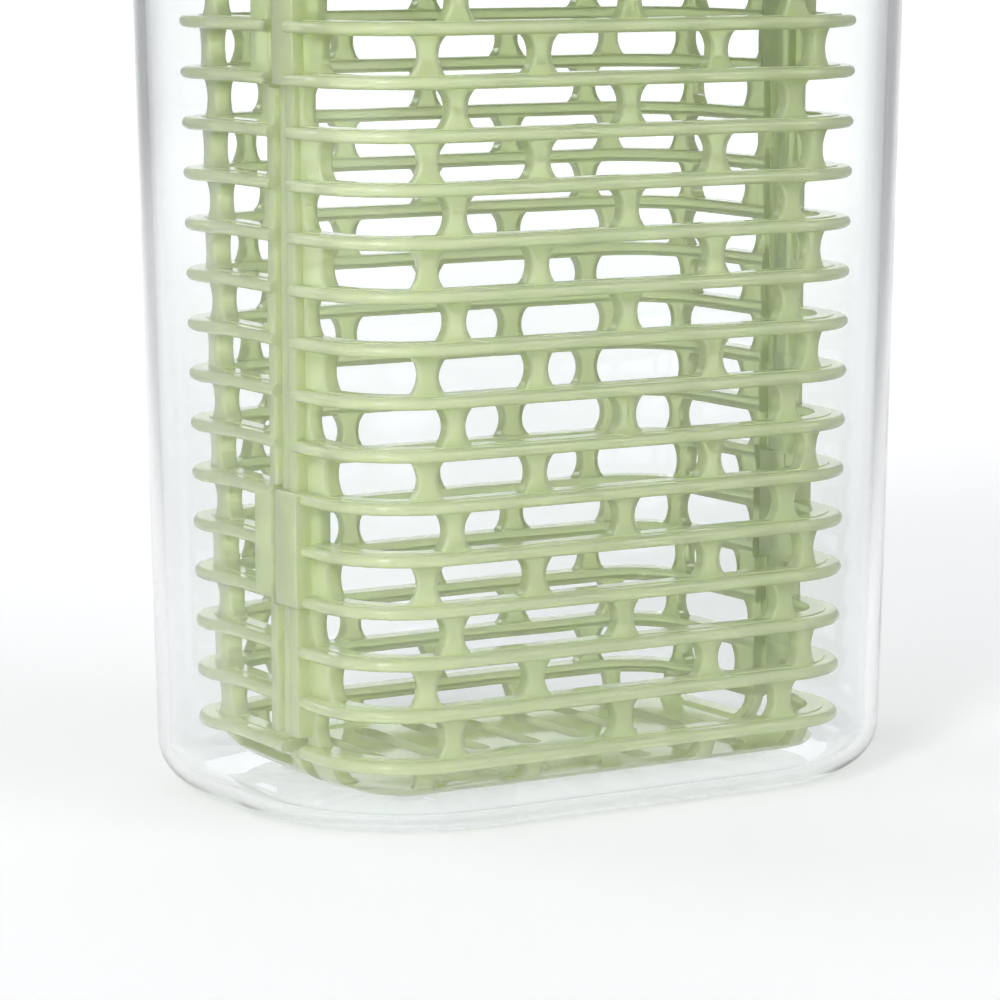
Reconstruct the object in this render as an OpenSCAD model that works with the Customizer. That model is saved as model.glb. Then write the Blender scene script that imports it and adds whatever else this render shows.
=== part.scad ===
// Herb keeper: a clear container, a slotted basket in two hinged halves that lifts
// out of it, and a lid with a seal and a sliding vent. Millimetres, +Z up, origin in
// the middle of the underside. The wide front is the -Y side.

/* [Container] */
// Height from the underside to the rim
container_h = 225; // [190:1:260]
// Width over the outside, taken at the underside
container_w = 153; // [135:1:175]
// Depth over the outside, taken at the underside
container_d = 104.4; // [94:0.2:122]
// Radius of the upright corners, taken at the underside
container_r = 42; // [30:0.5:46]
// Thickness of the wall
container_wall = 3; // [2:0.1:3.6]
// Thickness of the floor
container_floor = 3; // [2:0.1:4]
// Outside radius between wall and underside
base_edge_r = 10.5; // [8:0.5:14]
// Draft of the wall
container_draft = 1.3; // [0.5:0.1:1.6]

/* [Basket] */
// Free space between the ribs and the container at the narrow sides
side_gap = 12; // [8:0.1:14]
// Free space between the ribs and the container at the wide sides
face_gap = 7.3; // [5:0.1:9]
// Corner radius over the ribs, taken at the underside
basket_r = 19.1; // [17:0.1:24]
// Thickness of the slotted wall
basket_wall = 3.6; // [2.8:0.1:4]
// Thickness of the basket floor
basket_floor = 2.4; // [1.8:0.1:3]
// Radius between the wall and the floor
floor_edge_r = 9; // [7:0.5:11]
// Draft of the wall
basket_draft = 1; // [0.5:0.1:1.2]
// Height of the feet under the floor
foot_h = 1.5; // [1:0.1:2.5]
// Diameter of a foot
foot_d = 8; // [6:0.5:10]

/* [Ribs and windows] */
// Distance from one rib to the next
rib_pitch = 10.5; // [9.5:0.1:12]
// Height of a rib
rib_h = 2.5; // [2:0.1:3]
// How far a rib stands out of the wall
rib_out = 3.1; // [2.4:0.1:3.6]
// Height of the lowest rib above the container's underside
first_rib_z = 11.6; // [11:0.1:14]
// Height of the band at the top of the basket
rim_h = 6; // [4:0.5:8]
// Ledge of wall that is left above and below each rib
window_ledge = 0.2; // [0.1:0.05:0.5]
// Width of a post at its waist
post_waist = 4.2; // [3.4:0.1:5]
// Radius of a window's rounded ends
window_end_r = 5.3; // [4.6:0.1:7]
// Distance from the corner back to the outer post of an even row
even_post_inset = 2.4; // [1:0.1:5]
// Turn round the corner to the outer post of an odd row
odd_post_turn = 13; // [8:1:20]
// Turn round the corner to the back half's last post of an even row
even_end_turn = 85; // [82:1:88]
// Turn round the corner to the back half's last post of an odd row
odd_end_turn = 75; // [70:1:80]
// Distance from the seam to the front half's windows, in an even row
even_window_start = 6.4; // [6:0.1:9]
// Distance from the seam to the front half's windows, in an odd row
odd_window_start = 12.9; // [10:0.1:15]
// Solid strip of the back half beside the seam, in an even row
even_strip = 8; // [6:0.5:10]
// Solid strip of the back half beside the seam, in an odd row
odd_strip = 3.4; // [3.4:0.1:5]
// Distance from the seam to the front half's ribs
front_rib_start = 3.7; // [3:0.1:9]
// Free height between the floor and the windows of the lowest row
low_ledge = 0.6; // [0.4:0.1:1]
// Slots in the floor of each half, side by side
floor_slots = 7; // [4:1:9]
// Width of a floor slot
floor_slot_w = 5; // [4:0.1:6]

/* [Hinge and catch] */
// Place of the seam between the halves, in front of the middle
seam_y = 9; // [6:0.5:12]
// Distance from the ribs' outline at the underside in to the middle of a rod
rod_inset = 1.9; // [1.5:0.1:2.5]
// Radius of the hinge rod and of the catch rod
rod_r = 2.3; // [2:0.05:2.6]
// Radial clearance of the hinge rod in its clips
hinge_clearance = 0.06; // [0.03:0.01:0.1]
// Clearance of the catch rod in its open catches
catch_clearance = 0.3; // [0.2:0.05:0.4]
// Thickness of a clip around its rod
clip_wall = 1.5; // [1.2:0.1:2]
// Width of a clip along the side, in front of its rod
clip_reach = 8; // [7:0.5:9]
// Opening of a hinge clip, narrower than the rod so that it snaps on
clip_mouth = 3.6; // [3:0.1:3.9]
// Width of the upright flange along each edge of a half
flange_w = 3; // [2.5:0.1:3.5]
// Gap between the front half and the rods
seam_gap = 0.4; // [0.3:0.05:0.6]
// First rib of the lower pair of clips
lower_clip_rib = 3; // [2:1:5]
// First rib of the upper pair of clips
upper_clip_rib = 13; // [8:1:13]
// Gap between the floors of the two halves
floor_gap = 0.4; // [0.3:0.1:0.8]
// Width of the raised pad of the back half beside each hinge clip
pad_w = 9; // [7:0.5:10]
// How far a pad lies back from the face of its clip
pad_setback = 0.8; // [0.5:0.1:1.5]

/* [Lid] */
// Height of the lid above the rim
lid_h = 13; // [10:0.5:16]
// Thickness of the lid's cover
lid_wall = 2.2; // [1.8:0.1:2.6]
// How far the cover stands out past the rim
lid_overhang = 0.8; // [0.4:0.1:1.5]
// Rounding of the cover's top edge
lid_edge_r = 4; // [3:0.5:5]
// How deep the liner reaches into the container
liner_depth = 12; // [10:0.5:14]
// Thickness of the liner
liner_wall = 1.8; // [1.5:0.1:2.4]
// Free space between the liner and the container
liner_gap = 1.6; // [1.4:0.1:2]
// Height of the seal
gasket_h = 4; // [3.4:0.2:5]
// Thickness of each of the seal's two fins
fin_t = 0.8; // [0.6:0.1:1]
// Depth of the liner's groove for the seal
gasket_groove = 1; // [0.8:0.1:1.2]
// Clearance of the seal in its groove and in the container
gasket_clearance = 0.1; // [0.05:0.05:0.2]

/* [Vent] */
// Length of the recess for the slider
vent_recess_l = 46; // [42:1:56]
// Width of the recess for the slider
vent_recess_w = 18; // [16:1:22]
// Depth of the recess
vent_recess_depth = 5; // [4.8:0.1:6]
// Radius of the recess's corners
vent_recess_r = 4; // [2:0.5:6]
// Travel of the slider
vent_travel = 6; // [5:0.5:6.5]
// Thickness of the slider's plate
slider_t = 1.8; // [1.5:0.1:2.2]
// Width of an air slot, in the cover, the liner and the slider
air_slot_w = 3.2; // [2.5:0.1:3.5]
// Number of air slots
air_count = 3; // [2:1:3]
// Length of an air slot
air_slot_l = 10; // [8:0.5:12]
// Height of the slider's grip above its plate
grip_h = 3; // [2:0.5:4]
// Running clearance of the slider
slider_clearance = 0.3; // [0.2:0.05:0.5]

/* [Hidden] */
$fn = 96;

// Container
container_slope = tan(container_draft);
container_hx = container_w / 2;
container_hy = container_d / 2;
inner_r = container_r - container_wall;
rim_r = container_r + container_h * container_slope;
corner_x = container_hx - container_r;
corner_y = container_hy - container_r;

// Basket outline over the ribs and over the wall, at the underside
basket_slope = tan(basket_draft);
basket_hx = container_hx - container_wall - side_gap;
basket_hy = container_hy - container_wall - face_gap;
basket_cx = basket_hx - basket_r;
basket_cy = basket_hy - basket_r;
wall_r = basket_r - rib_out;
floor_z = container_floor + foot_h;

// Ribs, from the first up to the last that fits under the lid
lid_room = liner_depth + 3;
rib_count = floor((container_h - lid_room - rim_h - first_rib_z) / rib_pitch) + 1;
basket_top = rib_z(rib_count - 1) + rim_h;
window_h = rib_pitch - rib_h - 2 * window_ledge;
post_depth = basket_wall + 3;
post_end_w = post_waist + 2 * (window_end_r - sqrt(pow(window_end_r, 2) - pow(window_h / 2, 2)));

// Rods, clips and catches at the two narrow sides
rod_x = basket_hx - rod_inset;
clip_r = rod_r + hinge_clearance + clip_wall;
clip_ribs = [lower_clip_rib, upper_clip_rib];
clip_h = 2 * rib_pitch + rib_h;
clip_room = 0.6;
front_edge = -seam_y - rod_r - seam_gap;
back_edge = -seam_y + rod_r + seam_gap;
rod_z = floor_z + floor_edge_r + rib_h;

// Lid, fitted to the rim
rim_z = container_h;
lid_r = rim_r + lid_overhang;
mouth_r = rim_r - container_wall;
liner_r = mouth_r - liner_gap - liner_depth * container_slope;
lid_top = rim_z + lid_h;
liner_z = rim_z - liner_depth;
ledge_h = 3;
gasket_z = rim_z - liner_depth / 2 - gasket_h / 2;
slider_l = vent_recess_l - vent_travel - 2 * slider_clearance;
slider_w = vent_recess_w - 2 * slider_clearance;
air_pitch = 2 * vent_travel;
slider_x = (slider_l - vent_recess_l) / 2 + slider_clearance;
recess_floor_z = lid_top - vent_recess_depth;

// Height of the lower face of rib k
function rib_z(k) = first_rib_z + k * rib_pitch;

// Carries a profile, drawn as distance from the corner centres against height, round
// a rounded rectangle: four straight sides and four quarter turns
module carry_round(cx, cy) {
    for (turn = [0, 180]) rotate(turn) {
        translate([cx, 0, 0]) rotate([90, 0, 0]) linear_extrude(2 * cy, center = true) children();
        translate([0, cy, 0]) rotate([90, 0, 90]) linear_extrude(2 * cx, center = true) children();
        translate([cx, cy, 0]) rotate_extrude(angle = 90) children();
        translate([-cx, cy, 0]) rotate(90) rotate_extrude(angle = 90) children();
    }
}

// Carries a profile round the front face, both front corners and the two sides back to
// the line y = edge
module carry_half(cx, cy, edge) {
    translate([0, -cy, 0]) rotate([90, 0, -90]) linear_extrude(2 * cx, center = true) children();
    translate([cx, -cy, 0]) rotate(-90) rotate_extrude(angle = 90) children();
    translate([-cx, -cy, 0]) rotate(180) rotate_extrude(angle = 90) children();
    translate([cx, edge, 0]) rotate([90, 0, 0]) linear_extrude(cy + edge) children();
    translate([-cx, -cy, 0]) rotate([90, 0, 180]) linear_extrude(cy + edge) children();
}

// Section of a vessel from a corner centre outwards: flat floor, rounded edge, drafted wall
module vessel_section(r, bottom, top, edge, slope) {
    draft = atan(slope);
    middle = r + (bottom + edge) * slope - edge / cos(draft);
    polygon([[0, bottom], [middle, bottom],
             [middle + edge * cos(draft), bottom + edge - edge * sin(draft)],
             [r + top * slope, top], [0, top]]);
    translate([middle, bottom + edge])
        intersection() {
            circle(edge);
            translate([0, -edge]) square([2 * edge, edge]);
        }
}

// ---------------------------------------------------------------- container
module container() {
    color([0.93, 0.95, 0.96, 0.35]) {
        carry_round(corner_x, corner_y) difference() {
            vessel_section(container_r, 0, container_h, base_edge_r, container_slope);
            vessel_section(inner_r, container_floor, container_h + 1,
                           base_edge_r - container_wall, container_slope);
        }
        translate([-corner_x, -corner_y, 0]) cube([2 * corner_x, 2 * corner_y, container_floor]);
    }
}

// ------------------------------------------------------------------- basket
// Post between two windows, drawn flat: a bar waisted by the windows' round ends
module post_outline(waist, height) {
    end = post_end_w + waist - post_waist;
    difference() {
        square([end, height + 1], center = true);
        for (side = [-1, 1])
            translate([side * (waist / 2 + window_end_r), 0]) circle(window_end_r);
    }
}

// The same post, standing through the wall on the outward line at this turn from [x, y]
module post_at(x, y, turn, z, height) {
    translate([x, y, z + height / 2])
        rotate([90, 0, turn])
            translate([0, 0, wall_r - post_depth])
                linear_extrude(2 * post_depth) post_outline(post_waist, height);
}

// Posts of one row: even rows have one in the middle and odd rows have none. The last
// post on each side stands at [y, turn] = last.
module row_posts(row, z, height, last) {
    odd = row % 2 != 0;
    if (!odd) post_at(0, -basket_cy, 0, z, height);
    for (side = [-1, 1]) {
        post_at(side * (odd ? basket_cx / 2 : basket_cx - even_post_inset), -basket_cy, 0, z, height);
        if (odd) post_at(side * basket_cx, -basket_cy, side * odd_post_turn, z, height);
        post_at(side * basket_cx, last[0], side * last[1], z, height);
    }
}

// Material taken out between two ribs, back to the line y = limit: all but the posts
module row_cut(row, z, height, limit, last) {
    difference() {
        translate([-basket_hx - 20, -basket_hy - 20, z])
            cube([2 * basket_hx + 40, basket_hy + 20 + limit, height]);
        row_posts(row, z, height, last);
    }
}

// One half of the basket without its hinge: floor, wall, ribs and rim. The wall runs
// back to y = edge, the ribs to y = rib_edge and the floor to y = floor_edge. The
// windows of even and odd rows end at y = limits[0] and limits[1], and their last posts
// stand at [y, turn] = last[0] and last[1].
module basket_half(edge, rib_edge, floor_edge, limits, last) {
    flat_x = basket_cx + wall_r - floor_edge_r;
    difference() {
        union() {
            carry_half(basket_cx, basket_cy, edge) difference() {
                vessel_section(wall_r, floor_z, basket_top, floor_edge_r, basket_slope);
                vessel_section(wall_r - basket_wall, floor_z + basket_floor, basket_top + 1,
                               floor_edge_r - basket_wall, basket_slope);
            }
            translate([-basket_cx, -basket_cy, floor_z])
                cube([2 * basket_cx, basket_cy + edge, basket_floor]);
            translate([-flat_x, edge - 1, floor_z])
                cube([2 * flat_x, floor_edge - edge + 1, basket_floor]);
        }
        for (row = [0 : rib_count - 2])
            row_cut(row, rib_z(row) + rib_h + window_ledge, window_h, limits[row % 2], last[row % 2]);
        low_row_cut(limits[1], last[1]);
        floor_slots(floor_edge);
    }
    carry_half(basket_cx, basket_cy, rib_edge) {
        for (k = [0 : rib_count - 2]) rib_section(k);
        rim_section();
    }
    for (x = [-basket_cx, 0, basket_cx])
        translate([x, -basket_cy, container_floor])
            cylinder(h = foot_h + basket_floor / 2, d = foot_d);
}

// Windows of the lowest row, in the round edge between floor and wall
module low_row_cut(limit, last) {
    bottom = floor_z + basket_floor + low_ledge;
    row_cut(1, bottom, first_rib_z - window_ledge - bottom, limit, last);
}

// Section of rib k with its round nose, rooted in the wall
module rib_section(k) {
    nose = rib_h / 2;
    tip = basket_r + rib_z(k) * basket_slope - nose;
    root = tip + nose - rib_out - basket_wall / 2;
    translate([root, rib_z(k)]) square([tip - root, rib_h]);
    translate([tip, rib_z(k) + nose]) circle(nose);
}

// Section of the band round the top, with the same round edges as a rib
module rim_section() {
    nose = rib_h / 2;
    z = basket_top - rim_h;
    tip = basket_r + z * basket_slope - nose;
    root = tip + nose - rib_out - basket_wall / 2;
    translate([root, z]) square([tip - root, rim_h]);
    translate([tip - nose, z + nose]) square([2 * nose, rim_h - 2 * nose]);
    for (level = [nose, rim_h - nose]) translate([tip, z + level]) circle(nose);
}

// Round-ended slots through the floor of one half
module floor_slots(floor_edge) {
    start = -basket_cy - foot_d / 2 + 1;
    length = floor_edge - foot_d / 2 - floor_slot_w / 2 - start;
    for (i = [0 : floor_slots - 1])
        translate([2 * basket_cx * ((i + 0.5) / floor_slots - 0.5), start, floor_z - 1])
            linear_extrude(basket_floor + 2) {
                translate([-floor_slot_w / 2, 0]) square([floor_slot_w, length]);
                circle(d = floor_slot_w);
                translate([0, length]) circle(d = floor_slot_w);
            }
}

// Upright strip along one edge of a half
module edge_flange(side, y_low) {
    half = rod_r + seam_gap;
    translate([side * rod_x - half, y_low, rod_z])
        cube([2 * half, flange_w, basket_top - rod_z]);
}

module basket_back() {
    color([0.76, 0.86, 0.62, 0.9]) {
        difference() {
            union() {
                mirror([0, 1, 0])
                    basket_half(-back_edge, -back_edge, seam_y - floor_gap / 2,
                                [-back_edge - even_strip, -back_edge - odd_strip],
                                [[-basket_cy, even_end_turn], [-basket_cy, odd_end_turn]]);
                for (side = [-1, 1]) {
                    edge_flange(side, back_edge);
                    rod_web(side);
                }
            }
            for (side = [-1, 1]) for (k = clip_ribs) clip_gap(side, k);
        }
        for (side = [-1, 1])
            translate([side * rod_x, -seam_y, rod_z]) cylinder(h = basket_top - rod_z, r = rod_r);
        for (k = clip_ribs) hinge_pad(k);
    }
}

// Web that ties a rod to the back half's flange
module rod_web(side) {
    translate([side * rod_x - rod_r / 2, -seam_y, rod_z])
        cube([rod_r, back_edge + seam_y + flange_w / 2, basket_top - rod_z]);
}

// Space in the back half for a clip to turn in
module clip_gap(side, k) {
    half = clip_r + seam_gap;
    translate([side * rod_x - half, -seam_y - half, rib_z(k) - clip_room])
        cube([2 * half, 2 * half, clip_h + 2 * clip_room]);
}

// Raised pad that carries the back half up to the clip, bevelled at its far edge
module hinge_pad(k) {
    near = -seam_y + clip_r + seam_gap;
    out = clip_r - pad_setback;
    translate([-rod_x, near, rib_z(k) + clip_room])
        linear_extrude(clip_h - 2 * clip_room)
            polygon([[rod_r, 0], [-out, 0], [-out, pad_w - 2 * pad_setback],
                     [rod_r - out, pad_w], [rod_r, pad_w]]);
}

module basket_front() {
    ends = [for (start = [even_window_start, odd_window_start]) post_waist / 2 - seam_y - start];
    color([0.78, 0.88, 0.62, 0.9]) {
        difference() {
            union() {
                basket_half(front_edge, -seam_y - front_rib_start, -seam_y - floor_gap / 2,
                            ends, [for (y = ends) [y, 90]]);
                for (side = [-1, 1]) edge_flange(side, front_edge - flange_w);
                for (k = clip_ribs) hinge_clip(k);
                for (k = clip_ribs) catch_block(k);
            }
            for (k = clip_ribs) {
                hinge_bore(k);
                catch_channel(k);
            }
        }
    }
}

// Outside of a hinge clip: round behind the rod, flat towards the front
module hinge_clip(k) {
    translate([-rod_x, -seam_y, rib_z(k)]) {
        cylinder(h = clip_h, r = clip_r);
        translate([-clip_r, -clip_reach, 0]) cube([2 * clip_r, clip_reach, clip_h]);
    }
}

// Bore for the hinge rod, open towards the inside of the basket
module hinge_bore(k) {
    translate([-rod_x, -seam_y, rib_z(k) - 1]) {
        cylinder(h = clip_h + 2, r = rod_r + hinge_clearance);
        translate([0, -clip_mouth / 2, 0]) cube([clip_r + 1, clip_mouth, clip_h + 2]);
    }
}

// Outside of a catch
module catch_block(k) {
    translate([rod_x - clip_r, -seam_y - clip_reach, rib_z(k)])
        cube([2 * clip_r, clip_reach + rod_r, clip_h]);
}

// Channel of a catch, open towards the back half
module catch_channel(k) {
    r = rod_r + catch_clearance;
    translate([rod_x, -seam_y, rib_z(k) - 1]) {
        cylinder(h = clip_h + 2, r = r);
        translate([-r, 0, 0]) cube([2 * r, rod_r + 2, clip_h + 2]);
    }
}

// ---------------------------------------------------------------------- lid
module lid_cover() {
    color([0.95, 0.96, 0.95]) difference() {
        union() {
            carry_round(corner_x, corner_y) difference() {
                lid_section(lid_r, lid_top, lid_edge_r);
                lid_section(lid_r - lid_wall, lid_top - lid_wall, lid_edge_r - lid_wall);
            }
            translate([-corner_x, -corner_y, lid_top - lid_wall])
                cube([2 * corner_x, 2 * corner_y, lid_wall]);
            translate([0, 0, recess_floor_z - lid_wall])
                linear_extrude(vent_recess_depth + lid_wall / 2)
                    round_rect(vent_recess_l + 2 * lid_wall, vent_recess_w + 2 * lid_wall,
                               vent_recess_r + lid_wall);
        }
        translate([0, 0, recess_floor_z])
            linear_extrude(vent_recess_depth + 1)
                round_rect(vent_recess_l, vent_recess_w, vent_recess_r);
        air_slots(recess_floor_z - lid_wall - 1, lid_wall + 2, 0);
    }
}

// Rectangle with round corners
module round_rect(length, width, r) {
    square([length, width - 2 * r], center = true);
    square([length - 2 * r, width], center = true);
    for (x = [-1, 1]) for (y = [-1, 1])
        translate([x * (length / 2 - r), y * (width / 2 - r)]) circle(r);
}

// Section of the cover from a corner centre outwards
module lid_section(r, top, edge) {
    translate([0, rim_z]) square([r, top - edge - rim_z]);
    translate([0, rim_z]) square([r - edge, top - rim_z]);
    translate([r - edge, top - edge]) circle(edge);
}

// Row of air slots
module air_slots(z, height, shift) {
    for (i = [0 : air_count - 1])
        translate([(i - (air_count - 1) / 2) * air_pitch + shift, 0, z])
            linear_extrude(height) {
                square([air_slot_w, air_slot_l - air_slot_w], center = true);
                for (end = [-1, 1])
                    translate([0, end * (air_slot_l - air_slot_w) / 2]) circle(d = air_slot_w);
            }
}

// Tray under the cover: its wall reaches down into the container and carries the seal,
// its ledge rests on the rim and its top bears on the cover
module lid_liner() {
    wall_in = liner_r - liner_wall - gasket_groove;
    ledge_r = lid_r - lid_wall - gasket_clearance;
    color([0.9, 0.93, 0.9]) difference() {
        union() {
            carry_round(corner_x, corner_y) difference() {
                union() {
                    translate([0, liner_z]) square([liner_r, liner_depth + ledge_h]);
                    translate([wall_in, rim_z]) square([ledge_r - wall_in, ledge_h]);
                    translate([wall_in, rim_z])
                        square([liner_wall, lid_top - lid_wall - rim_z]);
                }
                translate([0, liner_z + liner_wall]) square([wall_in, lid_top - liner_z]);
                translate([liner_r - gasket_groove, gasket_z])
                    square([gasket_groove + 1, gasket_h]);
            }
            translate([-corner_x, -corner_y, liner_z])
                cube([2 * corner_x, 2 * corner_y, liner_wall]);
        }
        air_slots(liner_z - 1, liner_wall + 2, 0);
    }
}

// Seal with two fins, lying in the liner's groove
module lid_gasket() {
    inner = liner_r - gasket_groove + gasket_clearance;
    outer = mouth_r - liner_depth * container_slope - gasket_clearance;
    body_h = gasket_h - 2 * gasket_clearance;
    color([0.62, 0.74, 0.5]) carry_round(corner_x, corner_y) {
        translate([inner, gasket_z + gasket_clearance])
            square([(liner_r + outer) / 2 - inner, body_h]);
        for (level = [fin_t / 2, body_h - fin_t / 2])
            translate([0, gasket_z + gasket_clearance + level]) {
                translate([liner_r, -fin_t / 2]) square([outer - fin_t / 2 - liner_r, fin_t]);
                translate([outer - fin_t / 2, 0]) circle(d = fin_t);
            }
    }
}

// Plate with a round grip across it; its slots meet the cover's when it is slid along
module vent_slider() {
    color([0.66, 0.78, 0.52]) difference() {
        translate([0, 0, recess_floor_z]) {
            translate([slider_x, 0, 0]) linear_extrude(slider_t)
                round_rect(slider_l, slider_w, vent_recess_r - slider_clearance);
            rotate([90, 0, 0]) linear_extrude(slider_w - 2 * grip_h, center = true)
                translate([0, slider_t]) intersection() {
                    circle(grip_h);
                    translate([-grip_h, -slider_t / 2]) square(2 * grip_h);
                }
        }
        air_slots(recess_floor_z - 1, slider_t + 2, -vent_travel);
    }
}

container();
basket_back();
basket_front();
lid_cover();
lid_liner();
lid_gasket();
vent_slider();
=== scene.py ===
"""Looks of a herb keeper: a clear container, a slotted basket in two hinged halves and a lid with a vent."""

import math

import bmesh
import bpy
import numpy as np
from bpy.props import FloatProperty, FloatVectorProperty, IntProperty, PointerProperty
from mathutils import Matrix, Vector


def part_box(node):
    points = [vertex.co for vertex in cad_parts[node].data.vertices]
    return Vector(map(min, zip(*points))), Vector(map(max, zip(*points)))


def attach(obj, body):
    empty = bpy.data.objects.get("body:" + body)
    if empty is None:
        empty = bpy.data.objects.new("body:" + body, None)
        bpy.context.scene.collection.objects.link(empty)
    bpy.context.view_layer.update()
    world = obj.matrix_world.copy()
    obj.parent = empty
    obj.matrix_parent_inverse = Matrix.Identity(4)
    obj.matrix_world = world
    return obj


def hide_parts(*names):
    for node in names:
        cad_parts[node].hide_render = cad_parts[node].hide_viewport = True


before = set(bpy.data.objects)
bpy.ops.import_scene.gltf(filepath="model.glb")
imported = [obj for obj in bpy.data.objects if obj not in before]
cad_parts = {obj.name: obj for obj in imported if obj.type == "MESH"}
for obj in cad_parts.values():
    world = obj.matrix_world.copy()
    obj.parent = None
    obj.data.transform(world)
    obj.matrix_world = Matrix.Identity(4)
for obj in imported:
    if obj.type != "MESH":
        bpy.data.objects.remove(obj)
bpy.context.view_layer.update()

bl_info = {
    "name": "Herb Keeper",
    "version": (1, 0, 0),
    "blender": (4, 5, 0),
    "location": "3D View > Sidebar > Keeper",
    "description": "Builds the pieces, finishes and stage of a herb keeper",
    "category": "Object",
}

MM = 0.001
SAME_PLACE = 0.0002 * MM  # points nearer to each other than this are one point
CLIP_RIBS = (3, 13)  # the first rib of each pair of clips
RIM_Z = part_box("container")[1].z
LID_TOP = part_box("lid_cover")[1].z


def linear(hex_colour):
    """Linear red, green, blue and alpha of an sRGB hex colour: ((c + 0.055) / 1.055) ** 2.4, or
    c / 12.92 where c is 0.04045 or less."""
    c = np.array([int(hex_colour[i : i + 2], 16) for i in (1, 3, 5)]) / 255
    return (*np.where(c > 0.04045, ((c + 0.055) / 1.055) ** 2.4, c / 12.92).tolist(), 1.0)


def length(label, text, millimetres):
    """A size that the sidebar shows as a length."""
    return FloatProperty(name=label, description=text, default=millimetres * MM, min=0.0,
                         unit="LENGTH", precision=5)


def angle(label, text, degrees):
    """An angle that the sidebar shows in degrees."""
    return FloatProperty(name=label, description=text, default=math.radians(degrees), subtype="ANGLE")


def colour(label, text, hex_colour):
    """A colour that the sidebar shows as a swatch."""
    return FloatVectorProperty(name=label, description=text, default=linear(hex_colour), size=4,
                               min=0, max=1, subtype="COLOR")


# ------------------------------------------------------------------ settings
class KeeperContainerSettings(bpy.types.PropertyGroup):
    corner_x: length("Corner centre X", "From the middle to a corner's centre, along X", 34.5)
    corner_y: length("Corner centre Y", "From the middle to a corner's centre, along Y", 10.2)
    corner_r: length("Corner radius", "Radius of an upright corner at the underside", 42)
    wall: length("Wall", "Thickness of the wall", 3)
    floor: length("Floor", "Thickness of the floor", 3)
    edge_r: length("Edge radius", "Outside radius between wall and underside", 10.5)
    lip_r: length("Lip radius", "Rounding of the rim", 1.2)
    draft: angle("Draft", "Lean of the wall", 1.3)


class KeeperBasketSettings(bpy.types.PropertyGroup):
    corner_x: length("Corner centre X", "From the middle to a corner's centre, along X", 42.4)
    corner_y: length("Corner centre Y", "From the middle to a corner's centre, along Y", 22.8)
    wall_r: length("Wall radius", "Radius of the wall's outer face at the underside", 16)
    wall: length("Wall", "Thickness of the slotted wall", 3.6)
    draft: angle("Draft", "Lean of the wall", 1)
    floor_z: length("Floor height", "Height of the floor's lower face", 4.5)
    floor: length("Floor", "Thickness of the floor", 2.4)
    edge_r: length("Edge radius", "Radius between wall and floor", 9)
    first_rib_z: length("First rib", "Height of the lowest rib", 11.6)
    rib_pitch: length("Rib pitch", "Distance from one rib to the next", 10.5)
    rib_height: length("Rib height", "Height of a rib", 2.5)
    rib_out: length("Rib depth", "How far a rib stands out of the wall", 3.1)
    rib_count: IntProperty(name="Ribs", description="Ribs below the rim band", default=18, min=2)
    rim_height: length("Rim", "Height of the rim band", 6)
    ledge: length("Ledge", "Wall that is left above and below each rib", 0.2)
    low_ledge: length("Low ledge", "Free height between the floor and the lowest windows", 0.6)
    post_waist: length("Post waist", "Width of a post at its waist", 4.2)
    even_inset: length("Even posts", "From the corner back to the outer post of an even row", 2.4)
    odd_turn: angle("Odd posts", "Turn round the corner to the outer post of an odd row", 13)
    even_end: angle("Even end", "Turn to the back half's last post in an even row", 85)
    odd_end: angle("Odd end", "Turn to the back half's last post in an odd row", 75)
    even_start: length("Even start", "From the seam to the front half's windows in an even row", 6.4)
    odd_start: length("Odd start", "From the seam to the front half's windows in an odd row", 12.9)
    even_strip: length("Even strip", "Back half's plain wall beside the seam in an even row", 8)
    odd_strip: length("Odd strip", "Back half's plain wall beside the seam in an odd row", 3.4)
    rib_start: length("Rib start", "From the seam to the front half's ribs", 3.7)
    window_end_r: length("Window end", "Radius of a window's round ends", 5.3)
    soft_edge: length("Soft edge", "Rounding of the posts' upright edges", 0.75)
    rod_x: length("Rod", "Distance of a rod from the middle", 59.6)
    rod_r: length("Rod radius", "Radius of the hinge rod and the catch rod", 2.3)
    seam_y: length("Seam", "Place of the rods in front of the middle", 9)
    seam_gap: length("Seam gap", "Gap between a half's edge and the rods", 0.4)
    flange_w: length("Flange", "Width of the upright flange along a half's edge", 3)
    hinge_gap: length("Hinge gap", "Clearance of the hinge rod in its clips", 0.06)
    catch_gap: length("Catch gap", "Clearance of the catch rod in its catches", 0.3)
    clip_wall: length("Clip wall", "Thickness of a clip round its rod", 1.5)
    clip_reach: length("Clip reach", "How far a clip goes in front of its rod", 8)
    clip_mouth: length("Clip mouth", "Opening of a hinge clip", 3.6)
    floor_gap: length("Floor gap", "Gap between the floors of the two halves", 0.4)
    pad_w: length("Pad", "Width of the pad beside each hinge clip", 9)
    foot_r: length("Foot", "Radius of a foot", 4)
    slot_w: length("Floor slot", "Width of a slot in the floor", 5)
    slot_count: IntProperty(name="Floor slots", description="Slots in the floor of a half", default=7, min=1)


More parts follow.
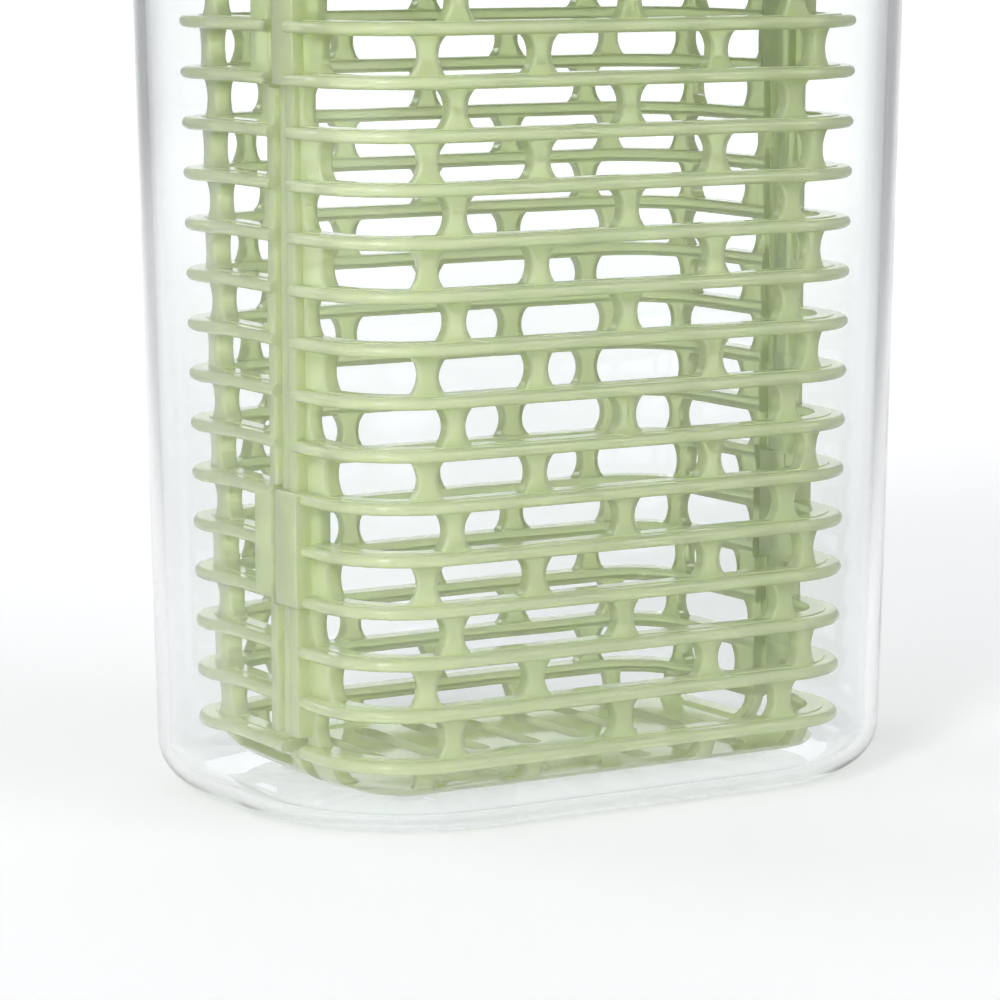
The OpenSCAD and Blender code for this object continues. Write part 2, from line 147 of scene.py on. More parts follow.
class KeeperLidSettings(bpy.types.PropertyGroup):
    corner_r: length("Corner radius", "Radius of the cover's corners", 47.906)
    wall: length("Wall", "Thickness of the cover", 2.2)
    edge_r: length("Edge radius", "Rounding of the cover's top edge", 4)
    recess_l: length("Recess length", "Length of the recess for the slider", 46)
    recess_w: length("Recess width", "Width of the recess for the slider", 18)
    recess_depth: length("Recess depth", "Depth of the recess", 5)
    recess_r: length("Recess corner", "Radius of the recess's corners", 4)
    liner_gap: length("Liner gap", "Free space between liner and container", 1.6)
    liner_wall: length("Liner wall", "Thickness of the liner", 1.8)
    ledge: length("Ledge", "Thickness of the liner's ledge on the rim", 3)
    groove: length("Groove", "Depth of the groove for the seal", 1)
    seal_height: length("Seal height", "Height of the groove for the seal", 4)
    seal_gap: length("Seal gap", "Clearance of the seal all round", 0.1)
    fin: length("Fin", "Thickness of the seal's fins", 0.8)


class KeeperFinishSettings(bpy.types.PropertyGroup):
    clear: colour("Clear shell", "Tint of the clear container", "#fbfdfd")
    basket: colour("Basket", "Colour of the basket's plastic", "#ebf9bf")
    lid: colour("Lid", "Colour of the cover", "#f1f2ee")
    liner: colour("Liner", "Colour of the liner", "#e9eee4")
    seal: colour("Seal", "Colour of the seal", "#a9c48c")
    slider: colour("Slider", "Colour of the slider", "#b3cd8d")


class KeeperStageSettings(bpy.types.PropertyGroup):
    floor_colour: colour("Floor", "Colour of the floor and backdrop", "#f4f4f5")
    lens: FloatProperty(name="Lens", description="Focal length in millimetres", default=149.64, min=10)
    distance: length("Distance", "Distance from the camera to its target", 883.6)
    target_z: length("Target height", "Height that the camera looks at", 58.4)
    azimuth: angle("Azimuth", "Turn of the camera round the object", -31.73)
    elevation: angle("Elevation", "Angle of the camera above the horizon", 8.21)


# ------------------------------------------------------------------ outlines
def rounded(points, radius, steps=3):
    """A closed outline with round corners. Each corner becomes an arc of its radius that touches both
    sides: its centre lies on the corner's bisector at radius / sin(half angle), and the arc's points
    are the two touching directions mixed by sin((1 - t) turn) and sin(t turn), over sin(turn)."""
    p = np.asarray(points, float)
    r = np.broadcast_to(np.asarray(radius, float), len(p))[:, None]
    a, b = np.roll(p, 1, 0) - p, np.roll(p, -1, 0) - p
    a /= np.linalg.norm(a, axis=1, keepdims=True)
    b /= np.linalg.norm(b, axis=1, keepdims=True)
    half = np.arccos(np.clip((a * b).sum(1, keepdims=True), -1, 1)) / 2
    turn = np.pi - 2 * half
    centre = p + (a + b) / np.linalg.norm(a + b, axis=1, keepdims=True) * r / np.sin(half)
    start, stop = p + a * r / np.tan(half) - centre, p + b * r / np.tan(half) - centre
    t = np.linspace(0, 1, steps + 1)[None, :, None]
    turn = turn[:, None, :]
    arcs = (np.sin((1 - t) * turn) * start[:, None] + np.sin(t * turn) * stop[:, None]) / np.sin(turn)
    return (centre[:, None] + arcs).reshape(-1, 2)


def arc(centre, radius, start, stop, steps):
    """Points of a circular arc: centre + radius (cos a, sin a), with a from start to stop in degrees."""
    a = np.radians(np.linspace(start, stop, steps + 1))
    return np.asarray(centre, float) + radius * np.column_stack([np.cos(a), np.sin(a)])


def circle(centre, radius):
    """Points of a full circle, in 32 steps."""
    return arc(centre, radius, 0, 348.75, 31)


def box_outline(x, y, radius, steps=3):
    """Outline of a rectangle with round corners. x and y are its (low, high) limits."""
    return rounded([(x[0], y[0]), (x[1], y[0]), (x[1], y[1]), (x[0], y[1])], radius, steps)


# -------------------------------------------------------------------- solids
def grid_faces(rows, columns, round_rows, round_columns):
    """Quads of a grid of points, row by row. A round direction joins its last line to its first."""
    i = np.arange(rows if round_rows else rows - 1)[:, None]
    j = np.arange(columns if round_columns else columns - 1)[None, :]
    i2, j2 = (i + 1) % rows, (j + 1) % columns
    corners = np.broadcast_arrays(i * columns + j, i * columns + j2, i2 * columns + j2, i2 * columns + j)
    return np.stack(corners, -1).reshape(-1, 4)


def tube(points):
    """Solid through stacked closed loops, an array (loops, points, 3), with a flat cap on each end."""
    rows, columns = points.shape[:2]
    faces = grid_faces(rows, columns, False, True).tolist()
    faces.append(list(range(columns)))
    faces.append(list(range((rows - 1) * columns, rows * columns)))
    return points.reshape(-1, 3), faces


def raised(flat, heights):
    """Points in X and Y, an array (loops, points, 2), lifted to these heights."""
    return np.concatenate([flat, np.broadcast_to(heights, flat.shape[:2] + (1,))], -1)


def prism(outline, heights, insets=None):
    """Solid of one outline in X and Y, stacked at these heights. An inset draws a level in towards the
    outline along its normals, which are the turned difference of the neighbouring points."""
    outline = np.asarray(outline, float)
    insets = np.zeros(len(heights)) if insets is None else np.asarray(insets, float)
    along = np.roll(outline, -1, 0) - np.roll(outline, 1, 0)
    normal = np.column_stack([-along[:, 1], along[:, 0]]) / np.linalg.norm(along, axis=1, keepdims=True)
    flat = outline[None] + insets[:, None, None] * normal[None]
    return tube(raised(flat, np.asarray(heights, float)[:, None, None]))


def soft_prism(outline, low, high, edge):
    """A prism whose two end edges are quarter rounds: the inset is edge (1 - sin a) where the height
    is edge (1 - cos a) from the end."""
    a = np.linspace(0, np.pi / 2, 4)
    rise, inset = edge * (1 - np.cos(a)), edge * (1 - np.sin(a))
    heights = np.concatenate([low + rise, high - rise[::-1]])
    return prism(outline, heights, np.concatenate([inset, inset[::-1]]))


def carried(profile, corner_x, corner_y, steps=18):
    """Solid of an open profile, in distance from the corner centres and height, carried round a
    rounded rectangle: each point is corner centre + distance (cos a, sin a). Flat caps close the
    profile's two ends."""
    a = np.radians(np.linspace(0, 90, steps + 1)[None, :] + 90 * np.arange(4)[:, None])
    normal = np.stack([np.cos(a), np.sin(a)], -1).reshape(-1, 1, 2)
    signs = np.repeat([(1, 1), (-1, 1), (-1, -1), (1, -1)], steps + 1, axis=0)[:, None]
    profile = np.asarray(profile, float)
    flat = signs * (corner_x, corner_y) + profile[None, :, :1] * normal
    return tube(raised(flat, profile[None, :, 1:]).transpose(1, 0, 2))


def ring(outline, corner_x, corner_y, steps=18):
    """Solid of a closed outline carried the same way, which leaves the middle open."""
    vertices, faces = carried(outline, corner_x, corner_y, steps)
    loops, columns = len(outline), 4 * (steps + 1)
    return vertices, grid_faces(loops, columns, True, True).tolist()


def joined(solids):
    """Several solids that don't touch, as one list of points and faces."""
    starts = np.cumsum([0] + [len(v) for v, _ in solids])
    faces = [[i + start for i in face] for (_, some), start in zip(solids, starts) for face in some]
    return np.vstack([v for v, _ in solids]), faces


def mirrored(solid):
    """The solid on the other side of the plane y = 0."""
    return solid[0] * (1, -1, 1), solid[1]


# -------------------------------------------------------------------- pieces
def mesh_object(name, solid):
    """An object of these points and faces, with every face turned outwards."""
    mesh = bpy.data.meshes.new(name)
    mesh.from_pydata(solid[0].tolist(), [], solid[1])
    shape = bmesh.new()
    shape.from_mesh(mesh)
    bmesh.ops.recalc_face_normals(shape, faces=shape.faces)
    shape.to_mesh(mesh)
    shape.free()
    made = bpy.data.objects.new(name, mesh)
    bpy.context.scene.collection.objects.link(made)
    return made


def smooth_normals(piece, normals):
    """Shades the piece smoothly with these normals, one for each vertex, worked out from its formula."""
    normals = normals.reshape(-1, 3)
    normals = normals / np.linalg.norm(normals, axis=1, keepdims=True)
    piece.data.shade_smooth()
    piece.data.normals_split_custom_set_from_vertices(normals)


def combined(name, first, *steps):
    """One closed piece: the first solid, then each step's ("UNION" or "DIFFERENCE", solid). Points that
    the steps leave on top of each other are merged."""
    made, helpers = mesh_object(name, first), []
    for operation, solid in steps:
        helper = mesh_object(name + ".part", solid)
        cut = made.modifiers.new("Combine", "BOOLEAN")
        cut.operation, cut.solver, cut.object = operation, "MANIFOLD", helper
        helpers.append(helper)
    shown = made.evaluated_get(bpy.context.evaluated_depsgraph_get())
    old, made.data = made.data, bpy.data.meshes.new_from_object(shown)
    made.modifiers.clear()
    shape = bmesh.new()
    shape.from_mesh(made.data)
    bmesh.ops.remove_doubles(shape, verts=shape.verts, dist=SAME_PLACE)
    shape.to_mesh(made.data)
    shape.free()
    bpy.data.meshes.remove(old)
    made.data.name = name
    for helper in helpers:
        mesh = helper.data
        bpy.data.objects.remove(helper)
        bpy.data.meshes.remove(mesh)
    if not made.data.polygons:
        raise RuntimeError(f"{name} came out empty")
    return made


def even_shading(piece):
    """Shades the piece smoothly, apart from edges sharper than 35 degrees, with the normals of its large
    faces kept flat."""
    piece.data.shade_smooth()
    piece.data.set_sharp_from_angle(angle=math.radians(35))
    weighted = piece.modifiers.new("Even shading", "WEIGHTED_NORMAL")
    weighted.keep_sharp = True
    return piece


def finished(piece, finish, body, node):
    """Gives the piece its finish, and lets it ride its body in place of its CAD node."""
    piece.data.materials.clear()
    piece.data.materials.append(finish(bpy.context.scene.keeper_finish))
    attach(piece, body)
    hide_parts(node)


# ----------------------------------------------------------------- materials
def add_node(tree, kind, inputs=(), **settings):
    """Adds a node. Inputs are (input, socket or value) pairs. A setting is the node's own, or else an
    input's value."""
    node = tree.nodes.new(kind)
    for name, value in settings.items():
        label = name.replace("_", " ").title().replace("Ior", "IOR")
        if label in node.inputs:
            node.inputs[label].default_value = value
        else:
            setattr(node, name, value)
    for name, given in inputs:
        if isinstance(given, bpy.types.NodeSocket):
            tree.links.new(given, node.inputs[name])
        else:
            node.inputs[name].default_value = given
    return node


def new_material(name):
    """An empty node material and its tree."""
    material = bpy.data.materials.new(name)
    material.use_nodes = True
    material.node_tree.nodes.clear()
    return material, material.node_tree


def clear_san(settings):
    """Styrene-acrylonitrile, injection moulded against a polished steel tool: water-clear, IOR 1.57, with
    a faint unevenness some 25 mm across that bends what is seen through it. Light that meets it at a
    steep slant is turned away, so its corners and its round edge cast a soft grey shadow."""
    material, tree = new_material("Clear SAN, polished mould")
    place = add_node(tree, "ShaderNodeTexCoord").outputs["Object"]
    flow = add_node(tree, "ShaderNodeTexNoise", [("Vector", place)], scale=1 / (25 * MM), detail=1.0)
    bump = add_node(tree, "ShaderNodeBump", [("Height", flow.outputs["Fac"])],
                    strength=0.25, distance=0.15 * MM)
    glass = add_node(tree, "ShaderNodeBsdfPrincipled", [("Normal", bump.outputs["Normal"])],
                     base_color=settings.clear, roughness=0.015, ior=1.57, transmission_weight=1.0)
    ray = add_node(tree, "ShaderNodeLightPath")
    slant = add_node(tree, "ShaderNodeLayerWeight", blend=0.35)
    passed = add_node(tree, "ShaderNodeBsdfTransparent", color=linear("#f8faf9"))
    stopped = add_node(tree, "ShaderNodeBsdfTransparent", color=linear("#8f9a96"))
    shadow = add_node(tree, "ShaderNodeMixShader",
                      [(0, slant.outputs["Facing"]), (1, passed.outputs[0]), (2, stopped.outputs[0])])
    mixed = add_node(tree, "ShaderNodeMixShader",
                     [(0, ray.outputs["Is Shadow Ray"]), (1, glass.outputs[0]), (2, shadow.outputs[0])])
    add_node(tree, "ShaderNodeOutputMaterial", [("Surface", mixed.outputs[0])])
    return material


def moulded_plastic(name, tint, roughness, wave, wave_depth, ior=1.49, through=0.0, scatter=0.0,
                    reach=4 * MM):
    """A moulded thermoplastic: flow marks some 30 mm across shift its roughness, and the tool's polish
    leaves faint waves. Through is the share of light that passes, scatter the share that glows inside,
    and reach how far it glows."""
    material, tree = new_material(name)
    place = add_node(tree, "ShaderNodeTexCoord").outputs["Object"]
    flow = add_node(tree, "ShaderNodeTexNoise", [("Vector", place)], scale=1 / (30 * MM), detail=2.0)
    rough = add_node(tree, "ShaderNodeMapRange", [("Value", flow.outputs["Fac"])],
                     from_min=0.3, from_max=0.7, to_min=roughness * 0.85, to_max=roughness * 1.2)
    waves = add_node(tree, "ShaderNodeTexNoise", [("Vector", place)], scale=1 / wave, detail=1.0)
    bump = add_node(tree, "ShaderNodeBump", [("Height", waves.outputs["Fac"])],
                    strength=0.3, distance=wave_depth)
    shader = add_node(tree, "ShaderNodeBsdfPrincipled",
                      [("Roughness", rough.outputs["Result"]), ("Normal", bump.outputs["Normal"])],
                      base_color=tint, ior=ior, transmission_weight=through, subsurface_weight=scatter,
                      subsurface_scale=reach, subsurface_radius=(0.9, 1.0, 0.6))
    add_node(tree, "ShaderNodeOutputMaterial", [("Surface", shader.outputs[0])])
    return material


def basket_polypropylene(settings):
    """Polypropylene, unfilled and lightly tinted, moulded against a polished tool: milky, so light
    passes it but nothing is seen sharply through it, with a bright line along every edge. IOR 1.49."""
    return moulded_plastic("Tinted polypropylene, moulded", settings.basket, 0.08, 9 * MM, 0.05 * MM,
                           through=0.5, scatter=0.9, reach=6 * MM)


def lid_abs(settings):
    """ABS, moulded against a fine matt tool: opaque white with a soft sheen. IOR 1.54."""
    return moulded_plastic("White ABS, moulded", settings.lid, 0.34, 8 * MM, 0.03 * MM,
                           ior=1.54, scatter=0.1)


def liner_polypropylene(settings):
    """Natural polypropylene: the same moulding as the basket without its tint, nearly opaque."""
    return moulded_plastic("Natural polypropylene, moulded", settings.liner, 0.38, 8 * MM, 0.03 * MM,
                           scatter=0.3)


def seal_silicone(settings):
    """Silicone rubber, compression moulded: matt and a little see-through, IOR 1.41."""
    return moulded_plastic("Silicone rubber, moulded", settings.seal, 0.55, 6 * MM, 0.03 * MM,
                           ior=1.41, scatter=0.4)


def slider_polypropylene(settings):
    """Filled polypropylene in the basket's colour, moulded: opaque satin."""
    return moulded_plastic("Green polypropylene, moulded", settings.slider, 0.3, 8 * MM, 0.03 * MM,
                           scatter=0.2)


def paper_with_painted_glow(settings):
    """Uncoated paper from a roll: matt, with fibres some 3 mm long that barely show. Behind the object, as
    the camera sees it, the paper has a painted glow: it gives off light like paper lit from the back, with
    no lamp behind it, and this also lightens the object's shadow on the floor. The glow fills a wedge that
    opens from the camera's place and grows with the distance, up to 3 m away, and its edges fade smoothly
    between 0.16 and 0.36 of that distance to either side, which leaves the sides darker for the clear shell
    to bend."""
    material, tree = new_material("Matt paper, pale, painted glow")
    place = add_node(tree, "ShaderNodeTexCoord").outputs["Object"]
    fibre = add_node(tree, "ShaderNodeTexNoise", [("Vector", place)], scale=1 / (3 * MM), detail=2.0)
    bump = add_node(tree, "ShaderNodeBump", [("Height", fibre.outputs["Fac"])],
                    strength=0.05, distance=0.05 * MM)
    sine, cosine = math.sin(settings.azimuth), math.cos(settings.azimuth)
    across = add_node(tree, "ShaderNodeVectorMath", [(0, place), (1, (cosine, sine, 0.0))],
                      operation="DOT_PRODUCT")
    beside = add_node(tree, "ShaderNodeMath", [(0, across.outputs["Value"])], operation="ABSOLUTE")
    forward = add_node(tree, "ShaderNodeVectorMath", [(0, place), (1, (-sine, cosine, 0.0))],
                       operation="DOT_PRODUCT")
    ahead = add_node(tree, "ShaderNodeMath", [(0, forward.outputs["Value"]), (1, settings.distance)],
                     operation="ADD")
    before = add_node(tree, "ShaderNodeMath", [(0, ahead.outputs[0]), (1, 0.05)], operation="MAXIMUM")
    spread = add_node(tree, "ShaderNodeMath", [(0, beside.outputs[0]), (1, before.outputs[0])],
                      operation="DIVIDE")
    wedge = add_node(tree, "ShaderNodeMapRange", [("Value", spread.outputs[0])],
                     interpolation_type="SMOOTHSTEP", from_min=0.16, from_max=0.36, to_min=1.0, to_max=0.0)
    far = add_node(tree, "ShaderNodeMapRange", [("Value", ahead.outputs[0])],
                   interpolation_type="SMOOTHSTEP", from_min=0.2, from_max=3.0, to_min=0.2, to_max=0.7)
    # painted glow: emission that stands in for a backlight, strongest behind the object as the camera sees
    # it
    glow = add_node(tree, "ShaderNodeMath", [(0, wedge.outputs["Result"]), (1, far.outputs["Result"])],
                    operation="MULTIPLY")
    paper = add_node(tree, "ShaderNodeBsdfPrincipled",
                     [("Normal", bump.outputs["Normal"]), ("Emission Strength", glow.outputs[0])],
                     base_color=settings.floor_colour, emission_color=(1, 1, 1, 1), roughness=0.9)
    add_node(tree, "ShaderNodeOutputMaterial", [("Surface", paper.outputs[0])])
    return material


# -------------------------------------------------------------------- basket
def wall_face(s, z, inner=False):
    """Distance of the wall's face from its corner centres at height z: a drafted line, and below the
    point where that touches the round edge, middle + sqrt(edge² - drop²)."""
    inset = s.wall if inner else 0
    edge, bottom = s.edge_r - inset, s.floor_z + (s.floor if inner else 0)
    line = s.wall_r - inset + z * math.tan(s.draft)
    middle = s.wall_r - inset + (bottom + edge) * math.tan(s.draft) - edge / math.cos(s.draft)
    drop = np.clip(bottom + edge - z, 0, edge)
    return np.where(drop > edge * math.sin(s.draft), middle + np.sqrt(edge**2 - drop**2), line)


def on_wall(s, along, out, z):
    """Points of a half, front side towards -Y. Along is the way round the wall from the middle of its
    face, measured at the wall's radius: straight, then a quarter turn about the corner centre, then
    straight back. Out is the distance from the corner centres."""
    quarter = s.wall_r * math.pi / 2
    far = np.abs(along)
    turn = np.clip((far - s.corner_x) / s.wall_r, 0, math.pi / 2)
    x = np.sign(along) * (np.minimum(far, s.corner_x) + out * np.sin(turn))
    y = np.maximum(far - s.corner_x - quarter, 0) - s.corner_y - out * np.cos(turn)
    return np.stack(np.broadcast_arrays(x, y, z), -1)


def along_at(s, y):
    """The way round the wall to this y on a narrow side."""
    return s.corner_x + s.wall_r * math.pi / 2 + y + s.corner_y


def stations(s, end, fade=0.0):
    """Ways round the wall at which a band's section is set: the ends of the straight runs, every 5
    degrees of the corners, and close steps over the last stretch where a rib fades out."""
    corner = s.corner_x + s.wall_r * np.radians(np.linspace(0, 90, 19))
    last = end - fade * (1 - np.sin(np.linspace(0, np.pi / 2, 7))) if fade else np.array([end])
    half = np.concatenate([corner, last])
    return np.concatenate([-half[::-1], half])


def round_wall(s, section, end):
    """Solid of a section, in distance and height, carried round the half's wall."""
    return tube(on_wall(s, stations(s, end)[:, None], section[None, :, 0], section[None, :, 1]))


def band(s, low, high, end, top_edge):
    """Strip of bare wall between two heights, carried round the half."""
    levels = np.array([low, high])
    inside, outside, soft = wall_face(s, levels, True), wall_face(s, levels), 0.15 * MM
    section = rounded([(inside[0], low), (outside[0], low), (outside[1], high), (inside[1], high)],
                      [soft, soft, soft, top_edge])
    return round_wall(s, section, end)


def rib(s, z, height, end, fade):
    """Rib with a round nose. Towards each end its section shrinks to a stub by sqrt(1 - t²), so that it
    sinks into the wall in a quarter round."""
    tip = s.wall_r + s.rib_out + z * math.tan(s.draft)
    root = tip - s.rib_out - s.wall / 2
    nose, stub = s.rib_height / 2 - 0.02 * MM, 0.2
    section = rounded([(root, z), (tip, z), (tip, z + height), (root, z + height)],
                      [0.1 * MM, nose, nose, 0.1 * MM], 6)
    way = stations(s, end, fade)
    t = np.clip((np.abs(way) - (end - fade)) / fade, 0, 1) if fade else np.zeros(len(way))
    share = stub + (1 - stub) * np.sqrt(1 - t**2)
    out = root + (section[None, :, 0] - root) * share[:, None]
    return tube(on_wall(s, way[:, None], out, section[None, :, 1]))


def post(s, place, low, high, reach=None):
    """Post between two windows. At height z its half width is waist / 2 + R - sqrt(R² - (z - middle)²),
    R being the radius of the windows' ends. Its section is a rectangle with round corners. With reach
    it goes on as plain wall, that far away from the middle of the face."""
    bury, inset, soft = 0.35 * MM, 0.06 * MM, s.soft_edge
    z = np.linspace(low - bury, high + bury, 11)[:, None]
    r_end = s.window_end_r
    half = s.post_waist / 2 + r_end - np.sqrt(r_end**2 - (z - (low + high) / 2) ** 2)
    outside, inside = wall_face(s, z) - inset, wall_face(s, z, True) + inset
    a = np.radians(np.linspace(0, 90, 5))
    between = np.linspace(-1, 1, 4 if reach is None else 14)[1:-1]
    cosine, sine, corner, zero = np.cos(a), np.sin(a), np.ones(5), np.zeros(len(between))
    side = np.concatenate([corner, -between, -corner, -corner, between, corner])
    face = np.concatenate([corner, zero + 1, corner, -corner, zero - 1, -corner])
    across = np.concatenate([cosine, zero, -cosine[::-1], -cosine, zero, cosine[::-1]])
    up = np.concatenate([sine, zero + 1, sine[::-1], -sine, zero - 1, -sine[::-1]])
    if reach is None:
        shift = side * (half - soft) + soft * across
    else:
        low_side, high_side = -(half - soft), reach - soft
        shift = (low_side + high_side) / 2 + side * (high_side - low_side) / 2 + soft * across
    middle, depth = (outside + inside) / 2, (outside - inside) / 2
    out = middle + face * (depth - soft) + soft * up
    narrowed = np.where(abs(place) > s.corner_x, s.wall_r / outside, 1.0) if reach is None else 1.0
    way = abs(place) + shift * narrowed
    return tube(on_wall(s, (1 if place >= 0 else -1) * way, out, z))


def post_places(s, row):
    """Where the posts between the windows of a row stand, as ways round the wall."""
    if row % 2:
        inner = [s.corner_x / 2, s.corner_x + s.wall_r * s.odd_turn]
        return [p * side for p in inner for side in (-1, 1)]
    return [0.0, s.even_inset - s.corner_x, s.corner_x - s.even_inset]


def bottom_shell(s, end, top):
    """Round edge between floor and wall, up to the lowest row of windows. Its levels are at
    share ** 1.6, closer together towards the floor."""
    low, high, bunched, start = s.floor_z, s.floor_z + s.floor, 1.6, 1.5 * MM
    z_out = np.linspace(0, 1, 9) ** bunched * (top - low) + low
    z_in = (np.linspace(0, 1, 5) ** bunched * (top - high) + high)[::-1]
    section = np.vstack([[(start, low)], np.column_stack([wall_face(s, z_out), z_out]),
                         np.column_stack([wall_face(s, z_in, True), z_in]), [(start, high)]])
    return round_wall(s, section, end)


def rib_z(s, k):
    """Height of the lower face of rib k."""
    return s.first_rib_z + k * s.rib_pitch


def basket_top(s):
    """Height of the basket's rim."""
    return rib_z(s, s.rib_count) + s.rim_height


def rod_low(s):
    """Height at which the rods and flanges start, above the round floor edge."""
    return s.floor_z + s.edge_r + s.rib_height


def clip_radius(s):
    """Outer radius of a clip round its rod."""
    return s.rod_r + s.hinge_gap + s.clip_wall


def clip_heights(s, k):
    """Lower and upper end of the clip that starts at rib k."""
    return rib_z(s, k), rib_z(s, k + 2) + s.rib_height


def flanges(s, y_low):
    """The two upright flanges of a half, whose front faces lie at y_low."""
    half = s.rod_r + s.seam_gap
    return [upright((x - half, x + half), (y_low, y_low + s.flange_w), rod_low(s), basket_top(s))
            for x in (-s.rod_x, s.rod_x)]


def floor_plate(s, edge, floor_edge):
    """Floor of one half: a plate that is narrower where the round corners are."""
    flat_x, thin = s.corner_x + s.wall_r - s.edge_r, 0.02 * MM
    side_x, deep, root = s.corner_x + 2.5 * MM, -s.corner_y - 2.5 * MM, edge - MM
    plate = [(-flat_x, floor_edge), (-flat_x, root), (-side_x, root), (-side_x, deep),
             (side_x, deep), (side_x, root), (flat_x, root), (flat_x, floor_edge)]
    return prism(rounded(plate, 0.2 * MM, 2), [s.floor_z + thin, s.floor_z + s.floor - thin])


def floor_slots(s, floor_edge):
    """Round-ended slots through the floor of one half, evenly spaced between the corners."""
    half = s.slot_w / 2
    first, last = -s.corner_y - s.foot_r + MM, floor_edge - s.foot_r - half
    places = 2 * s.corner_x * ((np.arange(s.slot_count) + 0.5) / s.slot_count - 0.5)
    return [prism(box_outline((x - half, x + half), (first - half, last + half), half - 0.01 * MM, 8),
                  [s.floor_z - MM, s.floor_z + s.floor + MM]) for x in places]


def feet(s):
    """Three round feet under the floor of one half."""
    low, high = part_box("basket_back")[0].z, s.floor_z + s.floor / 2
    return [soft_prism(circle((x, -s.corner_y), s.foot_r), low, high, 0.4 * MM)
            for x in (-s.corner_x, 0, s.corner_x)]


def basket_half(name, s, edge, rib_edge, floor_edge, lasts, panels, fade, extra, turn=lambda solid: solid):
    """One half: bands and ribs round the wall, posts between them, the slotted floor and its feet, then
    the extra steps. For even and odd rows, lasts gives where the last post stands, and panels where the
    plain wall beside the seam starts, or None where it starts at the last post."""
    end, rib_end = along_at(s, edge), along_at(s, rib_edge)
    low_row = s.floor_z + s.floor + s.low_ledge
    tops = [rib_z(s, k) + s.rib_height + s.ledge for k in range(s.rib_count)] + [basket_top(s)]
    bands = [bottom_shell(s, end, low_row)]
    bands += [band(s, rib_z(s, k) - s.ledge, tops[k], end, 0.6 * MM if k == s.rib_count else 0.15 * MM)
              for k in range(s.rib_count + 1)]
    ribs = [rib(s, rib_z(s, k), s.rib_height, rib_end, fade) for k in range(s.rib_count)]
    ribs.append(rib(s, rib_z(s, s.rib_count), s.rim_height - 0.02 * MM, rib_end, fade))
    rows = [(1, low_row, s.first_rib_z - s.ledge)]
    rows += [(k, tops[k], rib_z(s, k + 1) - s.ledge) for k in range(s.rib_count)]
    posts, shy = [], 0.05 * MM
    for row, low, high in rows:
        posts += [post(s, place, low, high) for place in post_places(s, row)]
        last, start = lasts[row % 2], panels[row % 2]
        if start is None:
            posts += [post(s, side * last, low, high, end - shy - last) for side in (-1, 1)]
        else:
            first = start + s.post_waist / 2
            posts += [post(s, side * last, low, high) for side in (-1, 1)]
            posts += [post(s, side * first, low, high, end - shy - first) for side in (-1, 1)]
    steps = [("UNION", joined(ribs)), ("UNION", joined(posts)), ("UNION", floor_plate(s, edge, floor_edge)),
             ("DIFFERENCE", joined(floor_slots(s, floor_edge))), ("UNION", joined(feet(s)))]
    steps = [(operation, turn(solid)) for operation, solid in steps]
    return combined(name, turn(joined(bands)), *steps, *extra)


def upright(x, y, low, high, radius=0.5 * MM):
    """Upright bar with soft edges between these (low, high) limits of x and y."""
    return soft_prism(box_outline(x, y, radius), low, high, radius)


class KEEPER_OT_basket_front(bpy.types.Operator):
    """Front half of the basket, with its two hinge clips and two catches"""

    bl_idname = "keeper.basket_front"
    bl_label = "Basket front"

    def execute(self, context):
        s, soft, fade = context.scene.keeper_basket, 0.5 * MM, 1.2 * MM
        front_edge = -s.seam_y - s.rod_r - s.seam_gap
        radius, face_y = clip_radius(s), -s.seam_y - s.clip_reach
        face = [(-s.rod_x - radius, face_y), (-s.rod_x + radius, face_y)]
        clip = np.vstack([arc((-s.rod_x, -s.seam_y), radius, 0, 180, 16), face])
        catch = box_outline((s.rod_x - radius, s.rod_x + radius), (face_y, -s.seam_y + s.rod_r), 0.6 * MM)
        clips, bores = [], []
        for k in CLIP_RIBS:
            low, high = clip_heights(s, k)
            clips += [soft_prism(outline, low, high, soft) for outline in (clip, catch)]
            bores += [prism(outline, [low - MM, high + MM]) for outline in (self.bore(s), self.channel(s))]
        lasts = [along_at(s, s.post_waist / 2 - s.seam_y - start) for start in (s.even_start, s.odd_start)]
        extra = [("UNION", joined(flanges(s, front_edge - s.flange_w))), ("UNION", joined(clips)),
                 ("DIFFERENCE", joined(bores))]
        piece = basket_half("basket_front_half", s, front_edge, -s.seam_y - s.rib_start,
                            -s.seam_y - s.floor_gap / 2, lasts, (None, None), fade, extra)
        finished(even_shading(piece), basket_polypropylene, "basket_door", "basket_front")
        return {"FINISHED"}

    def bore(self, s):
        """Outline of a hinge clip's bore with its mouth, which opens towards the middle."""
        radius = s.rod_r + s.hinge_gap
        mouth = math.degrees(math.asin(s.clip_mouth / 2 / radius))
        around = arc((-s.rod_x, -s.seam_y), radius, mouth, 360 - mouth, 28)
        reach = -s.rod_x + clip_radius(s) + MM
        return np.vstack([around, [(reach, around[-1, 1]), (reach, around[0, 1])]])

    def channel(self, s):
        """Outline of a catch's channel, which opens to the back."""
        around = arc((s.rod_x, -s.seam_y), s.rod_r + s.catch_gap, 180, 360, 16)
        open_y = -s.seam_y + s.rod_r + 2 * MM
        return np.vstack([around, [(around[-1, 0], open_y), (around[0, 0], open_y)]])


